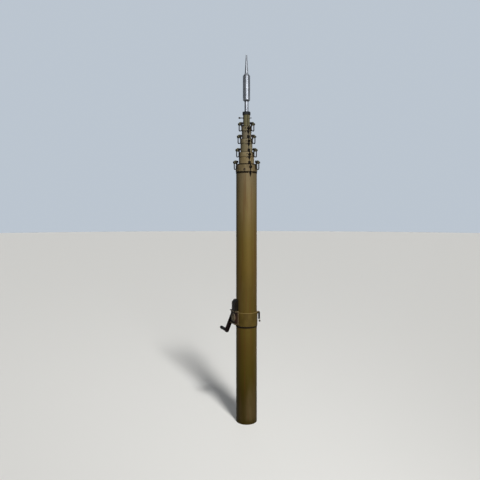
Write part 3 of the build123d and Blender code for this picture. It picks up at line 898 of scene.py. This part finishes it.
def weld_tree():
    tree, given = new_tree("weld_bead", {
        "From": "NodeSocketVector", "To": "NodeSocketVector", "Count": "NodeSocketInt",
        "Radius": "NodeSocketFloat", "Seed": "NodeSocketInt", "Material": "NodeSocketMaterial",
    })
    line = add_node(tree, "GeometryNodeMeshLine", {
        "Count": given["Count"], "Start Location": given["From"], "Offset": given["To"],
    }, mode="END_POINTS")
    drift = add_node(tree, "FunctionNodeRandomValue", {
        0: (-WELD_DRIFT,) * 3, 1: (WELD_DRIFT,) * 3, "Seed": given["Seed"],
    }, data_type="FLOAT_VECTOR")
    uneven = add_node(tree, "GeometryNodeSetPosition", {0: line[0], "Offset": drift[0]})
    size = add_node(tree, "FunctionNodeRandomValue", {
        0: PUDDLE_LEAST, 1: PUDDLE_MOST, "Seed": given["Seed"],
    }, data_type="FLOAT_VECTOR")
    puddle = add_node(tree, "GeometryNodeMeshUVSphere", {
        "Segments": 10, "Rings": 6, "Radius": given["Radius"],
    })
    row = add_node(tree, "GeometryNodeInstanceOnPoints", {
        "Points": uneven[0], "Instance": puddle[0], "Scale": size[0],
    })
    end_tree(tree, row[0], given["Material"])
    return tree


weld_bead = weld_tree()

# %% Welds beside every lug
GUY_AZIMUTHS = (-60.0, 60.0, 180.0)
LUG_HALF = 4.0 * MM
WELD_RADIUS = 1.6 * MM
WELD_STEP = 2.0 * MM
WELD_TOP = 2.5 * MM
WELD_FOOT = 10.0 * MM
BAND_TALL = (44.0 * MM, 28.0 * MM, 28.0 * MM, 28.0 * MM)

for level in BAND_LEVELS:
    top = head_z[level] - WELD_TOP
    bottom = head_z[level] - BAND_TALL[level] + WELD_FOOT
    depth = sqrt(band_radius[level] ** 2 - LUG_HALF ** 2)
    beads = []
    for number, azimuth in enumerate(GUY_AZIMUTHS):
        for side in (-1, 1):
            line = outward(azimuth) * depth + around(azimuth) * side * LUG_HALF
            beads.append(grow(weld_bead, {
                "From": (line.x, line.y, bottom), "To": (line.x, line.y, top),
                "Count": round((top - bottom) / WELD_STEP) + 1, "Radius": WELD_RADIUS,
                "Seed": 10 * level + 2 * number + (side > 0), "Material": band_paints[level],
            }))
    pattern_piece(f"lug_welds_{level}", beads, band_paints[level], tube_bodies[level])

# %% [markdown]
# ## Clamp bolts in the screw ears
#
# One hexagon bolt pulls the two ears of each band together across the slit. Its head lies on the left ear,
# and on the right ear only the thread's end shows beyond a thin nut. The bolt's place comes from the ears:
# how far they stand out, and how far round the mast they reach.

# %% Clamp bolts
EAR_BOLT_DROP = 15.0 * MM
EAR_BOLT_REACH = 3.5 * MM
EAR_HALF = 7.5
BOLT_SEAT = EAR_HALF - 0.1
BOLT_FLAT = 3.5
BOLT_HEAD = 2.8
NUT_TOP = EAR_HALF + 2.0
THREAD_END = 1.2
THREAD_RADIUS = 2.0

for level in BAND_LEVELS:
    centre = outward(SLIT_AZIMUTH) * (band_radius[level] + EAR_BOLT_REACH)
    centre.z = head_z[level] - EAR_BOLT_DROP
    shape = bmesh.new()
    turned(shape, (
        (BOLT_FLAT, BOLT_SEAT, True), (BOLT_FLAT, EAR_HALF + BOLT_HEAD * 0.8, True),
        (BOLT_FLAT * 0.93, EAR_HALF + BOLT_HEAD, False),
    ), seat(centre, -around(SLIT_AZIMUTH)))
    rightward = seat(centre, around(SLIT_AZIMUTH))
    turned(shape, ((BOLT_FLAT, BOLT_SEAT, True), (BOLT_FLAT, NUT_TOP, True)), rightward)
    turned(shape, (
        (THREAD_RADIUS, EAR_HALF, False), (THREAD_RADIUS, NUT_TOP + THREAD_END * 0.5, False),
        (THREAD_RADIUS * 0.75, NUT_TOP + THREAD_END, False),
    ), rightward)
    finished_piece(f"clamp_bolt_{level}", shape, screw_steel, tube_bodies[level])

# %% [markdown]
# ## Split pins on the shackle pins
#
# Each shackle's pin has a hexagon head at one end and a split pin through the other. A split pin is bent
# wire, so a curve with a round bevel makes it: a ring above the pin, two legs through it, and their ends
# bent apart below. The place and direction of every pin are read from the joint that the shackle swings on.

# %% Split pins
WIRE_RADIUS = 0.8 * MM
COTTER_INSET = 2.0 * MM
COTTER_POINTS = (
    (3.4, -8.5), (1.6, -7.0), (0.7, -5.0), (0.7, 0.0), (0.7, 5.0), (2.4, 6.6), (2.0, 9.4),
    (-2.0, 9.4), (-2.4, 6.6), (-0.7, 5.0), (-0.7, 0.0), (-0.7, -5.0), (-1.9, -6.4), (-4.6, -7.4),
)
shackle_low, shackle_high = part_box("shackle_0_back")
pin_half = (shackle_high.x - shackle_low.x) / 2


def bent_wire(points, radius):
    """A mesh of round wire along flat points given in millimetres."""
    curve = bpy.data.curves.new("wire", "CURVE")
    curve.dimensions = "3D"
    curve.bevel_depth = radius
    curve.bevel_resolution = 2
    curve.resolution_u = 4
    curve.use_fill_caps = True
    spline = curve.splines.new("NURBS")
    spline.points.add(len(points) - 1)
    for point, (x, y) in zip(spline.points, points):
        point.co = (x * MM, y * MM, 0.0, 1.0)
    spline.use_endpoint_u = True
    spline.order_u = 3
    bender = bpy.data.objects.new("wire", curve)
    mesh = bpy.data.meshes.new_from_object(bender)
    bpy.data.objects.remove(bender)
    bpy.data.curves.remove(curve)
    return mesh


for joint in frame["record"]["behaviour"]["joints"]:
    body = joint["child"]
    if not body.startswith("shackle"):
        continue
    end = Vector(joint["axis"])
    place = seat(Vector(joint["pos_m"]) + end * (pin_half - COTTER_INSET), end)
    mesh = bent_wire(COTTER_POINTS, WIRE_RADIUS)
    mesh.transform(place)
    pattern_piece("split_pin_" + body.removeprefix("shackle_"), [mesh], screw_steel, body)

# %% [markdown]
# ## Seals and strap round the base tube
#
# Three dark lines cross the base tube in the photo: a rubber ring under the lowest band, a dust seal on
# that band's bush, and a strap under the clamp sleeve. The first has to stop at the relief below the slit,
# so it is swept over the rest of the circle only.

# %% Rubber


def seal_rubber():
    """Dusty matt rubber."""
    seal = Finish("seal_rubber", specular=0.1)
    dust = seal.between(seal.noise(7, detail=5), 0.4, 0.75)
    colour = seal.mix((20, 14, 5), (38, 29, 14), dust)
    return seal.finish(colour, 0.75, seal.bump(seal.noise(0.8, detail=2), 0.05))


rubber = seal_rubber()

# %% Seals and strap
RELIEF_HALF = 10.5 * MM
RELIEF_SPARE_ANGLE = 1.5
SEAL_THICK = 1.5 * MM
SEAL_TALL = 12.0 * MM
BUSH_FLANGE = 3.0 * MM
DUST_SEAL_INNER = 58.5 * MM
DUST_SEAL_INSET = 2.0 * MM
DUST_SEAL_TALL = 4.5 * MM
STRAP_THICK = 2.4 * MM
STRAP_TALL = 11.0 * MM


def rubber_ring(name, inner, outer, bottom, top, corner, **arc):
    """A band of rubber round the mast, in metres, with its two outer corners cut."""
    shape = bmesh.new()
    girdle(shape, (
        (inner, bottom), (outer - corner, bottom), (outer, bottom + corner), (outer, top - corner),
        (outer - corner, top), (inner, top),
    ), **arc)
    finished_piece(name, shape, rubber, "base")


tube = tube_radius[0]
relief_angle = degrees(asin(RELIEF_HALF / tube)) + RELIEF_SPARE_ANGLE
band_foot = head_z[0] - BAND_TALL[0]
bush_top = head_z[0] + BUSH_FLANGE
rubber_ring(
    "band_seal", tube, tube + SEAL_THICK, band_foot - SEAL_TALL, band_foot, corner=0.5 * MM,
    start=SLIT_AZIMUTH + relief_angle, span=360 - 2 * relief_angle,
)
rubber_ring(
    "dust_seal", DUST_SEAL_INNER, tube - DUST_SEAL_INSET, bush_top, bush_top + DUST_SEAL_TALL,
    corner=1.2 * MM,
)
rubber_ring(
    "sleeve_strap", tube, tube + STRAP_THICK, sleeve_low.z - STRAP_TALL, sleeve_low.z, corner=0.6 * MM,
)

# %% [markdown]
# ## Fasteners of the winch
#
# The gear case has a round cover with a ring of bolts on its outward face, the bracket's flanges are bolted
# through, and the rope guard is held by four screws. The winch faces 65 degrees to the left of the camera.
# How far out each face lies is measured on the solids, so that the parts stay seated when a size changes.

# %% Gear cover
WINCH_AZIMUTH = -65.0
COVER_RADIUS = 27.0
COVER_THICK = 3.0
COVER_MARGIN = 4.0
winch_out = outward(WINCH_AZIMUTH)
winch_near = around(WINCH_AZIMUTH)
case_low, case_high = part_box("gear_case")
cover_aside = reach("gear_case", winch_near) - (COVER_RADIUS + COVER_MARGIN) * MM
cover_centre = winch_out * reach("gear_case", winch_out) + winch_near * cover_aside
cover_centre.z = (case_low.z + case_high.z) / 2
cover_place = seat(cover_centre, winch_out)
shape = bmesh.new()
turned(shape, (
    (COVER_RADIUS, -0.5, False), (COVER_RADIUS, COVER_THICK - 0.8, False),
    (COVER_RADIUS - 0.8, COVER_THICK, False), (COVER_RADIUS * 0.62, COVER_THICK, False),
    (COVER_RADIUS * 0.58, COVER_THICK - 1.4, False), (COVER_RADIUS * 0.3, COVER_THICK - 1.4, False),
    (COVER_RADIUS * 0.26, COVER_THICK, False),
), cover_place)
finished_piece("gear_cover", shape, cover_paint_and_highlight, "base")

# %% Cover bolts, flange bolts and guard screws
COVER_BOLTS = 6
COVER_BOLT_CIRCLE = COVER_RADIUS * 0.8 * MM
COVER_BOLT = (
    (2.6, COVER_THICK - 0.2, True), (2.6, COVER_THICK + 1.3, True), (2.3, COVER_THICK + 1.7, False),
)
WASHER = ((6.0, -0.2, False), (6.0, 0.8, False))
FLANGE_BOLT = ((4.0, 0.8, True), (4.0, 3.6, True), (3.7, 4.2, False))
FLANGE_BOLT_IN = 12.0 * MM
FLANGE_BOLT_ALONG = (14.0 * MM, -52.0 * MM)
GUARD_SCREW = ((3.4, -0.3, False), (3.4, 1.2, False), (2.6, 2.0, False))
GUARD_SCREW_ALONG = (9.0 * MM, -33.0 * MM)
GUARD_SCREW_RISE = (9.0 * MM, 38.0 * MM)

shape = bmesh.new()
for number in range(COVER_BOLTS):
    turn = Matrix.Rotation(2 * pi * number / COVER_BOLTS, 4, "Z")
    aside = Matrix.Translation((COVER_BOLT_CIRCLE, 0, 0))
    turned(shape, COVER_BOLT, cover_place @ turn @ aside)
bracket_low, bracket_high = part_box("winch_bracket")
flange_out = reach("winch_bracket", winch_out) - FLANGE_BOLT_IN
for along in FLANGE_BOLT_ALONG:
    stand = winch_out * flange_out + winch_near * along
    for height, facing in ((bracket_high.z, 1), (bracket_low.z, -1)):
        place = seat(Vector((stand.x, stand.y, height)), (0, 0, facing), up=winch_out)
        turned(shape, WASHER, place)
        turned(shape, FLANGE_BOLT, place)
guard_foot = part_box("rope_guard")[0].z
guard_out = reach("rope_guard", winch_out)
for along in GUARD_SCREW_ALONG:
    for rise in GUARD_SCREW_RISE:
        stand = winch_out * guard_out + winch_near * along + Vector((0, 0, guard_foot + rise))
        turned(shape, GUARD_SCREW, seat(stand, winch_out))
finished_piece("winch_fasteners", shape, screw_steel, "base")

# %% [markdown]
# ## Knurl on the locking pin's knob
#
# The knob is pulled with wet fingers, so it is knurled. The ring tree above serves again, with a thin bar
# in place of the screw. Its ring lies flat, so the finished mesh is turned to stand round the pin.

# %% Knurled knob
KNURL_COUNT = 26
KNOB_LENGTH = 13.0 * MM
KNOB_EDGE = 2.8 * MM
BAR_OUTLINE = ((-0.35, -0.2), (0.35, -0.2), (0.0, 0.35))
BAR_FACES = ((0, 1, 4, 3), (1, 2, 5, 4), (2, 0, 3, 5), (2, 1, 0), (3, 4, 5))
knob_low, knob_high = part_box("lock_pin")
bar_half = KNOB_LENGTH / 2 - KNOB_EDGE
bar_mesh = bpy.data.meshes.new("knurl_bar")
corners = [(x * MM, end * bar_half, z * MM) for end in (-1, 1) for x, z in BAR_OUTLINE]
bar_mesh.from_pydata(corners, [], BAR_FACES)
knurl_bar = bpy.data.objects.new("knurl_bar", bar_mesh)
bars = grow(screw_ring, {
    "Screw": knurl_bar, "Material": shackle_steel, "Count": KNURL_COUNT,
    "Radius": (knob_high.z - knob_low.z) / 2, "Height": 0.0, "First angle": 0.0,
})
knob_centre = Vector((knob_low.x + KNOB_LENGTH / 2, 0, (knob_low.z + knob_high.z) / 2))
bars.transform(Matrix.Translation(knob_centre) @ Matrix.Rotation(pi / 2, 4, "Y"))
pattern_piece("knob_knurl", [bars], shackle_steel, "lock_pin")
